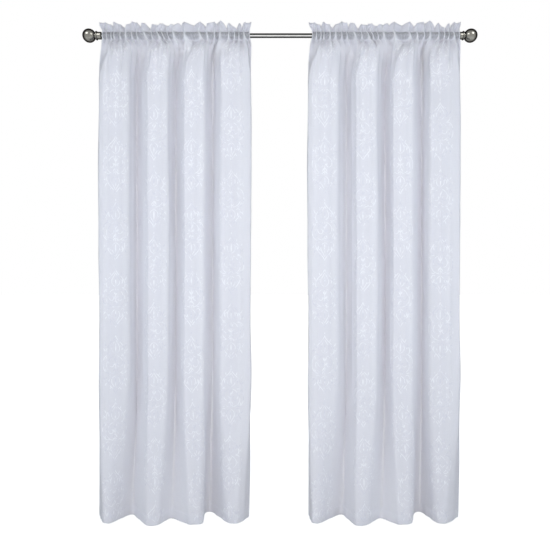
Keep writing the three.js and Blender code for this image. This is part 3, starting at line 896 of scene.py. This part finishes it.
def seam_stitches():
    """Hem and side hems of a panel, as (across, height) stitches."""
    hem, low, high = HEM_TOP - 0.003, HEM_BOTTOM + 0.006, SEAM_BELOW - 0.004
    rows = stitch_row((0.004, hem), (FLAT_WIDTH - 0.004, hem))
    for across in (SIDE_HEM - 0.003, FLAT_WIDTH - SIDE_HEM + 0.003):
        rows += stitch_row((across, low), (across, high))
    return rows


def pocket_stitches():
    """The pocket's two seams; here the second number is a row of the grid."""
    rows = []
    for row in (SEAM_ROW, UPPER_SEAM_ROW):
        rows += stitch_row((0.004, row), (FLAT_WIDTH - 0.004, row))
    return rows


# ---------------------------------------------------------------------------------------------
# Materials
# ---------------------------------------------------------------------------------------------


class Nodes:
    """A small helper that adds and joins shader nodes in a tree."""

    def __init__(self, tree):
        self.tree = tree

    def set(self, node, values):
        """Gives each named socket its value, or joins it to the output given."""
        for key, value in values.items():
            if hasattr(value, "is_linked"):
                self.tree.links.new(value, node.inputs[key])
            else:
                node.inputs[key].default_value = value

    def add(self, kind, values=None, **settings):
        node = self.tree.nodes.new(kind)
        for key, value in settings.items():
            setattr(node, key, value)
        self.set(node, values or {})
        return node

    def math(self, operation, a, b=0.0):
        return self.add("ShaderNodeMath", {0: a, 1: b}, operation=operation).outputs[0]

    def mix(self, factor, a, b):
        node = self.add("ShaderNodeMix", {"Factor": factor, "A": a, "B": b}, data_type="FLOAT")
        return node.outputs["Result"]

    def mix_colour(self, factor, a, b):
        return self.add("ShaderNodeMix", {0: factor, 6: a, 7: b}, data_type="RGBA").outputs[2]

    def spread(self, value, low, high, at_low=0.0, at_high=1.0, **settings):
        """A value turned into another that goes from at_low to at_high between low and high."""
        values = {0: value, 1: low, 2: high, 3: at_low, 4: at_high}
        return self.add("ShaderNodeMapRange", values, **settings).outputs[0]

    def noise(self, place, scale, detail, roughness=0.5):
        values = {"Vector": place, "Scale": scale, "Detail": detail, "Roughness": roughness}
        return self.add("ShaderNodeTexNoise", values).outputs["Fac"]

    def stretch(self, place, factors):
        return self.add("ShaderNodeVectorMath", {0: place, 1: factors}, operation="MULTIPLY").outputs[0]

    def bump(self, height, strength, distance):
        values = {"Height": height, "Strength": strength, "Distance": distance}
        return self.add("ShaderNodeBump", values).outputs[0]


def new_group(name, inputs, outputs):
    """A node group with named inputs (name: default) and outputs."""
    tree = bpy.data.node_groups.new(name, "ShaderNodeTree")
    for label, value in inputs.items():
        socket = tree.interface.new_socket(label, in_out="INPUT", socket_type="NodeSocketFloat")
        socket.default_value = value
    for label in outputs:
        tree.interface.new_socket(label, in_out="OUTPUT", socket_type="NodeSocketFloat")
    nodes = Nodes(tree)
    return nodes, nodes.add("NodeGroupInput"), nodes.add("NodeGroupOutput")


def weave_group():
    """Plain weave with slubs: threads per metre in, height and a light-to-dark mask out."""
    nodes, into, out = new_group(
        "plain weave", {"Threads": 900.0, "Slub": 0.5}, ("Height", "Streaks")
    )
    flat = nodes.add("ShaderNodeUVMap", uv_map="flat").outputs["UV"]
    part = nodes.add("ShaderNodeSeparateXYZ", {0: flat})
    turn = nodes.math("MULTIPLY", into.outputs["Threads"], math.pi)
    warp = nodes.math("SINE", nodes.math("MULTIPLY", part.outputs["X"], turn))
    weft = nodes.math("SINE", nodes.math("MULTIPLY", part.outputs["Y"], turn))
    cross = nodes.math("MULTIPLY", warp, weft)
    thread = nodes.math("ADD", nodes.math("MULTIPLY", cross, 0.5), 0.5)
    long_slubs, cross_slubs = (
        nodes.noise(nodes.stretch(flat, factors), 1.0, 3.0, 0.6)
        for factors in ((420.0, 26.0, 1.0), (30.0, 480.0, 1.0))
    )
    slubs = nodes.math("MULTIPLY", nodes.math("ADD", long_slubs, cross_slubs), 0.5)
    height = nodes.mix(into.outputs["Slub"], thread, slubs)
    nodes.set(out, {"Height": height, "Streaks": slubs})
    return nodes.tree


def wear_group():
    """Uneven finish on metal: brighter worn edges and a soft tarnish, as masks."""
    nodes, into, out = new_group("metal wear", {"Scale": 60.0}, ("Edge", "Tarnish", "Brushing"))
    where = nodes.add("ShaderNodeTexCoord").outputs["Object"]
    spots = nodes.noise(where, into.outputs["Scale"], 5.0)
    edge = nodes.spread(nodes.add("ShaderNodeNewGeometry").outputs["Pointiness"], 0.52, 0.62)
    rings = nodes.noise(nodes.stretch(where, (2600.0, 120.0, 120.0)), 1.0, 2.0)
    nodes.set(out, {"Edge": nodes.math("MULTIPLY", edge, spots), "Tarnish": spots, "Brushing": rings})
    return nodes.tree


def new_material(name):
    material = bpy.data.materials.new(name)
    material.use_nodes = True
    material.node_tree.nodes.clear()
    nodes = Nodes(material.node_tree)
    shader = nodes.add("ShaderNodeBsdfPrincipled")
    nodes.add("ShaderNodeOutputMaterial", {"Surface": shader.outputs[0]})
    return material, nodes, shader


SLUBBY_CLOTH = ((0.829, 0.819, 0.859, 1), (0.874, 0.864, 0.904, 1))  # between and on the slubs
MOTIF_TONE_AND_CREST_SHADE = (0.785, 0.775, 0.825, 1)  # partly the cloth's own greyer tone along the motifs, partly painted shade over the crests' middles, where the motifs lie, that leaves the crests' edges looking lit
MOTIF_AND_CREST_SHADE_BAND = (0.09, 0.15, 0.35, 0.0)  # shares of a column from its middle, strength up to each
DOUBLED_CLOTH = (0.91, 0.905, 0.93, 1)
# Painted highlight: the colour the tight ridges at the pocket are lightened to, and how strongly.
RIDGE_HIGHLIGHT = (0.99, 0.985, 1.0, 1)
RIDGE_HIGHLIGHT_STRENGTH = 0.95
# Painted shade: the colour the cloth is darkened to over the rod and in the gathers' hollows.
ROD_AND_HOLLOW_SHADE = (0.16, 0.155, 0.165, 1)
SHADE_MOTTLE = (0.35, 0.62, 0.5, 0.8)  # the painted shade over the rod is uneven by this much
# Thread colours: duller, and lighter in spots that are partly uneven tone, partly painted glints.
THREAD_DULL, THREAD_BRIGHT = (0.785, 0.78, 0.84, 1), (0.97, 0.97, 1.0, 1)


def cloth_material(weave):
    material, nodes, shader = new_material("white curtain cloth")
    pattern = nodes.add("ShaderNodeGroup", {"Threads": 1500.0, "Slub": 0.55}, node_tree=weave)
    streaks = nodes.spread(pattern.outputs["Streaks"], 0.35, 0.65)
    colour = nodes.mix_colour(streaks, *SLUBBY_CLOTH)
    flat = nodes.add("ShaderNodeUVMap", uv_map="flat").outputs["UV"]
    across, height, _ = nodes.add("ShaderNodeSeparateXYZ", {0: flat}).outputs
    # Greyer along the motif columns: partly the cloth's tone, partly painted shade on the crests' middles
    # that leaves their edges lighter.
    column = nodes.math("MULTIPLY", nodes.math("SUBTRACT", across, FIRST_COLUMN), 1 / COLUMN_PITCH)
    motif_tone_and_crest_shade = nodes.spread(nodes.math("PINGPONG", column, 0.5), *MOTIF_AND_CREST_SHADE_BAND)
    colour = nodes.mix_colour(motif_tone_and_crest_shade, colour, MOTIF_TONE_AND_CREST_SHADE)
    turned_up = nodes.spread(height, HEM_HEIGHT - 0.5 * MM, HEM_HEIGHT + 0.5 * MM, 0.3, 0.0)
    colour = nodes.mix_colour(turned_up, colour, DOUBLED_CLOTH)
    # Painted highlight on the tight ridges at the pocket.
    ridge = nodes.add("ShaderNodeAttribute", attribute_name="ridge").outputs["Fac"]
    colour = nodes.mix_colour(nodes.math("MULTIPLY", ridge, RIDGE_HIGHLIGHT_STRENGTH), colour, RIDGE_HIGHLIGHT)
    # Painted shade: the cloth's colour is darkened where the rod lies behind it and in the gathers' tight
    # hollows.
    rod_and_hollow_shade = nodes.add("ShaderNodeAttribute", attribute_name="rod shade").outputs["Fac"]
    shade_unevenness = nodes.spread(nodes.noise(flat, 130.0, 2.0), *SHADE_MOTTLE)
    colour = nodes.mix_colour(nodes.math("MULTIPLY", rod_and_hollow_shade, shade_unevenness), colour, ROD_AND_HOLLOW_SHADE)
    looks = {
        "Base Color": colour,
        "Roughness": 0.82,
        "Specular IOR Level": 0.3,
        "Sheen Weight": 0.1,
        "Sheen Roughness": 0.5,
        "Subsurface Weight": 0.5,
        "Subsurface Radius": (0.002, 0.002, 0.0021),
        "Subsurface Scale": 1.0,
        "Normal": nodes.bump(pattern.outputs["Height"], 0.35, 0.0004),
    }
    nodes.set(shader, looks)
    return material


def thread_material():
    """Lustrous white thread of the stitched motifs and seams; its lighter spots are partly uneven tone,
    partly painted glints.
    """
    material, nodes, shader = new_material("white embroidery thread")
    where = nodes.add("ShaderNodeTexCoord").outputs["Object"]
    twist = nodes.noise(where, 900.0, 2.0)
    # Spots of lighter colour along the threads: partly uneven tone, partly painted glints.
    tone_and_painted_glint = nodes.spread(nodes.noise(where, 60.0, 1.5), 0.4, 0.58)
    looks = {
        "Base Color": nodes.mix_colour(tone_and_painted_glint, THREAD_DULL, THREAD_BRIGHT),
        "Roughness": nodes.spread(twist, 0.0, 1.0, 0.5, 0.65),
        "Specular IOR Level": 0.6,
        "Metallic": 0.25,
        "Normal": nodes.bump(twist, 0.3, 0.0003),
    }
    nodes.set(shader, looks)
    return material


def metal_material(name, wear, bright, dark, turn, roughness):
    """Polished metal whose colour is painted: a painted highlight where it faces the eye, painted shade as
    it turns away, with worn edges and tarnish.
    """
    material, nodes, shader = new_material(name)
    finish = nodes.add("ShaderNodeGroup", node_tree=wear)
    # Painted highlight and painted shade: Layer Weight's Facing mixes the base colour from the highlight
    # colour, where the surface faces the eye, to the shade colour as it turns away.
    facing = nodes.add("ShaderNodeLayerWeight", {"Blend": 0.5}).outputs["Facing"]
    painted_rim_shade = nodes.spread(facing, *turn, interpolation_type="SMOOTHSTEP")
    colour = nodes.mix_colour(painted_rim_shade, bright, dark)
    colour = nodes.mix_colour(nodes.math("MULTIPLY", finish.outputs["Tarnish"], 0.35), colour, dark)
    looks = {
        "Base Color": nodes.mix_colour(finish.outputs["Edge"], colour, bright),
        "Metallic": 1.0,
        "Specular Tint": (0.25, 0.25, 0.24, 1),
        "Roughness": nodes.spread(finish.outputs["Tarnish"], 0.0, 1.0, roughness - 0.04, roughness + 0.06),
        "Normal": nodes.bump(finish.outputs["Brushing"], 0.12, 0.0002),
    }
    nodes.set(shader, looks)
    return material


WEAVE = weave_group()
WEAR = wear_group()
CLOTH = cloth_material(WEAVE)
THREAD = thread_material()
# Pewter: a painted highlight over each ball's middle, painted shade as it turns away from the eye.
PEWTER = metal_material(
    "pewter finial",
    WEAR,
    bright=(0.26, 0.255, 0.23, 1),
    dark=(0.04, 0.038, 0.035, 1),
    turn=(0.14, 0.44),
    roughness=0.2,
)
# The rod's light colour shows only in a thin line where it faces the eye: a painted highlight.
NICKEL = metal_material(
    "dark nickel rod",
    WEAR,
    bright=(0.8, 0.8, 0.79, 1),
    dark=(0.012, 0.012, 0.012, 1),
    turn=(0.01, 0.08),
    roughness=0.12,
)

# ---------------------------------------------------------------------------------------------
# Panels
# ---------------------------------------------------------------------------------------------

LAYERS = folded_cloth()
MOTIFS = motif_layout()
SEAMS, POCKET_SEAMS = seam_stitches(), pocket_stitches()


def body_row(height):
    """The grid's row at a height on the flat cloth."""
    return np.interp(height, ROW_HEIGHTS, np.arange(len(ROW_HEIGHTS)))


def laid_on(panel, side, row_of):
    """Places flat points on a panel's face: across the cloth, and by what gives the grid's row."""

    def surface(across, up, lift):
        return panel.face(side, np.clip(across / FLAT_WIDTH, 0, 1) * (COLUMNS - 1), row_of(up), lift)

    return surface


for node, panel_x in PANEL_X.items():
    panel = Panel(LAYERS, panel_x)
    cloth = panel_object(node + "_cloth", panel, CLOTH)
    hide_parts(node)
    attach(cloth, "root")
    laid = [threads_object(node + "_motifs", MOTIFS, laid_on(panel, 0, body_row), THREAD)]
    for side, face in ((0, "front"), (1, "back")):
        by_height, by_row = laid_on(panel, side, body_row), laid_on(panel, side, np.asarray)
        name = node + "_" + face
        laid.append(threads_object(name + "_hem_stitches", SEAMS, by_height, THREAD))
        laid.append(threads_object(name + "_pocket_stitches", POCKET_SEAMS, by_row, THREAD))
    for piece in laid:
        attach(piece, "root")

# ---------------------------------------------------------------------------------------------
# Rod and finials
# ---------------------------------------------------------------------------------------------

ROUND = 64


def lathe(name, profile, direction, material):
    """Turns a profile of (radius, distance from the middle) round the rod's axis."""
    profile = np.array(profile, float)
    closed = profile[0][0] > 0
    angles = np.arange(ROUND) * 2 * np.pi / ROUND
    vertices, rings = [], []
    for radius, along in profile:
        if radius == 0:
            rings.append([len(vertices)] * ROUND)
            vertices.append((direction * along, 0.0, 0.0))
        else:
            rings.append(list(range(len(vertices), len(vertices) + ROUND)))
            vertices += [(direction * along, radius * math.cos(a), radius * math.sin(a)) for a in angles]
    if closed:
        rings.append(rings[0])
    faces = []
    for lower, upper in zip(rings, rings[1:]):
        for i in range(ROUND):
            j = (i + 1) % ROUND
            face = [lower[i], lower[j], upper[j], upper[i]]
            face = list(dict.fromkeys(face))
            if len(face) > 2:
                faces.append(face if direction < 0 else face[::-1])
    return make_mesh(name, vertices, faces, material, sharp_angle=35)


def arc(centre_radius, centre_along, radius, start, end, steps):
    turn = np.linspace(start, end, steps + 1)
    return [(centre_radius + radius * math.sin(a), centre_along + radius * math.cos(a)) for a in turn]


def dress(obj, node):
    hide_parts(node)
    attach(obj, "root")


rod = lathe(
    "rod_tube",
    [(0, -ROD_END), (ROD_RADIUS, -ROD_END), (ROD_RADIUS, ROD_END), (0, ROD_END)],
    1,
    NICKEL,
)
dress(rod, "rod")

BALL_TO_TIP = 0.030
BALL_CENTRE = BALL_TIP - BALL_TO_TIP
BALL_RADIUS = 0.0287
NECK_END = 0.795
FIT = 0.3 * MM
BORE = ROD_RADIUS + FIT
SLEEVE, FLANGE, BEAD = 0.0155, 0.019, 0.0034
SHOULDER = 0.783
EASE = 0.0008  # rounding of the sleeve's end
LEFT_SLEEVE_RUNS_ON = 0.004  # the left panel leaves more of its sleeve bare
NECK = 0.0110
GROOVE = 0.0015  # the bead stands this far back from the ball's neck

for side, direction in (("right", 1), ("left", -1)):
    start = COLLAR_INNER if side == "right" else COLLAR_INNER - LEFT_SLEEVE_RUNS_ON
    bead_centre = COLLAR_OUTER - BEAD - GROOVE
    collar = lathe(
        "collar_sleeve_" + side,
        [(BORE, start + EASE)]
        + arc(SLEEVE - EASE, start + EASE, EASE, math.pi, math.pi / 2, 4)
        + arc(SLEEVE - EASE, SHOULDER - EASE, EASE, math.pi / 2, 0, 3)
        + [(SLEEVE - 2 * EASE, SHOULDER), (SLEEVE - 2 * EASE, bead_centre - BEAD)]
        + arc(FLANGE - BEAD, bead_centre, BEAD, math.pi, 0, 14)
        + [(NECK, COLLAR_OUTER - GROOVE), (NECK, COLLAR_OUTER), (BORE, COLLAR_OUTER)],
        direction,
        PEWTER,
    )
    dress(collar, "collar_" + side)
    cut = math.acos((NECK_END - BALL_CENTRE) / BALL_RADIUS)
    ball = lathe(
        "finial_ball_" + side,
        [(0, ROD_END + FIT), (ROD_RADIUS, ROD_END + FIT), (ROD_RADIUS, COLLAR_OUTER + FIT)]
        + [(NECK, COLLAR_OUTER + FIT), (NECK, NECK_END)]
        + arc(0, BALL_CENTRE, BALL_RADIUS, cut, 0, 40)[:-1]
        + [(0, BALL_CENTRE + BALL_RADIUS)],
        direction,
        PEWTER,
    )
    dress(ball, "ball_" + side)

# ---------------------------------------------------------------------------------------------
# Floor, light and camera
# ---------------------------------------------------------------------------------------------

FLOOR_Z = HEM_BOTTOM - 0.12
FLOOR_REACH = 30.0
FLOOR_GLOW = (0.7, 2.4, 0.54, 1.0)  # two distances from the middle, and the glow at each


def seen_directly(nodes):
    """1 for rays from the camera or a mirror-like bounce, 0 for the light's own rays."""
    path = nodes.add("ShaderNodeLightPath")
    total = nodes.math("ADD", path.outputs["Is Camera Ray"], path.outputs["Is Glossy Ray"])
    total = nodes.math("ADD", total, path.outputs["Is Transmission Ray"])
    return nodes.math("MINIMUM", total, 1.0)


def make_floor():
    corners = ((-1, -1), (1, -1), (1, 1), (-1, 1))
    vertices = [(x * FLOOR_REACH, y * FLOOR_REACH, FLOOR_Z) for x, y in corners]
    material = bpy.data.materials.new("pale floor")
    material.use_nodes = True
    material.node_tree.nodes.clear()
    nodes = Nodes(material.node_tree)
    bounce = nodes.add("ShaderNodeBsdfDiffuse", {"Color": (0.35, 0.35, 0.36, 1)})
    shaded = nodes.add("ShaderNodeBsdfDiffuse", {"Color": (0.8, 0.8, 0.8, 1)})
    place = nodes.add("ShaderNodeNewGeometry").outputs["Position"]
    away = nodes.stretch(place, (1, 1, 0))
    away = nodes.add("ShaderNodeVectorMath", {0: away}, operation="LENGTH").outputs["Value"]
    paler = nodes.spread(away, *FLOOR_GLOW, interpolation_type="SMOOTHSTEP")
    glow = nodes.add("ShaderNodeEmission", {"Color": (1, 1, 1, 1), "Strength": paler})
    shown = nodes.add("ShaderNodeAddShader", {0: shaded.outputs[0], 1: glow.outputs[0]})
    mixed = nodes.add(
        "ShaderNodeMixShader", {0: seen_directly(nodes), 1: bounce.outputs[0], 2: shown.outputs[0]}
    )
    nodes.add("ShaderNodeOutputMaterial", {"Surface": mixed.outputs[0]})
    floor = make_mesh("floor", vertices, [(0, 1, 2, 3)], material)


def make_world(ambient, tint):
    world = bpy.data.worlds.new("studio")
    bpy.context.scene.world = world
    world.use_nodes = True
    world.node_tree.nodes.clear()
    nodes = Nodes(world.node_tree)
    fill = nodes.add("ShaderNodeBackground", {"Color": tint, "Strength": ambient})
    shown = nodes.add("ShaderNodeBackground", {"Color": (1, 1, 1, 1), "Strength": 1.0})
    mixed = nodes.add(
        "ShaderNodeMixShader", {0: seen_directly(nodes), 1: fill.outputs[0], 2: shown.outputs[0]}
    )
    nodes.add("ShaderNodeOutputWorld", {"Surface": mixed.outputs[0]})


def area_light(name, place_at, aim, width, height, power, colour, glossy):
    """A softbox that lights the cloth, or with `glossy` only shows in the polished metal."""
    light = bpy.data.lights.new(name, "AREA")
    light.shape = "RECTANGLE"
    light.size, light.size_y = width, height
    light.energy = power
    light.color = colour
    obj = bpy.data.objects.new(name, light)
    obj.location = place_at
    obj.rotation_euler = (Vector(aim) - Vector(place_at)).to_track_quat("-Z", "Y").to_euler()
    obj.visible_glossy = glossy
    obj.visible_diffuse = not glossy
    bpy.context.collection.objects.link(obj)


make_floor()
make_world(0.17, (1.0, 0.98, 0.94, 1))
SKY, BEHIND, NOON = (0.77, 0.87, 1.0), (0.94, 0.96, 1.0), (1.0, 0.98, 0.95)  # colours of the light
WHITE = (1.0, 1.0, 1.0)
# One softbox to each side of the middle: place, aim, width, height, power, colour, for gloss only.
LAMPS = (
    ("front softbox", (1.25, -2.05, -0.90), (0.2, 0.0, -0.90), 1.6, 1.1, 9.8, SKY, False),
    ("near softbox", (0.1, -2.5, -0.90), (0.1, 0.0, -0.90), 0.5, 1.0, 9.7, NOON, False),
    ("side softbox", (3.5, -2.1, -0.86), (0.3, 0.0, -0.90), 3.0, 1.7, 32.0, SKY, False),
    ("heading softbox", (0.5, -1.5, 0.45), (0.45, 0.0, 0.04), 0.8, 0.3, 1.7, SKY, False),
    ("back softbox", (0.45, 2.6, -0.8), (0.45, 0.0, -0.8), 1.6, 1.6, 30, BEHIND, False),
    ("glint", (1.8, -2.1, 1.0), (0.8, 0.0, 0.0), 1.4, 1.1, 30, WHITE, True),
)
for side in (-1, 1):
    for name, place_at, aim, width, height, power, colour, glossy in LAMPS:
        places = [(side * x, y, z) for x, y, z in (place_at, aim)]
        area_light(name, *places, width, height, power, colour, glossy)

CAMERA_X, CAMERA_BACK, CAMERA_Z = FAN_X, FAN_REACH, -1.027
PICTURE_WIDTH = 2.36  # width of the picture at the rod, in metres

camera = bpy.data.cameras.new("camera")
camera.sensor_width = 36.0
camera.lens = 36.0 * CAMERA_BACK / PICTURE_WIDTH
camera_obj = bpy.data.objects.new("camera", camera)
camera_obj.location = (CAMERA_X, -CAMERA_BACK, CAMERA_Z)
camera_obj.rotation_euler = (math.pi / 2, 0, 0)
bpy.context.collection.objects.link(camera_obj)
scene = bpy.context.scene
scene.camera = camera_obj
scene.view_settings.view_transform = "Standard"
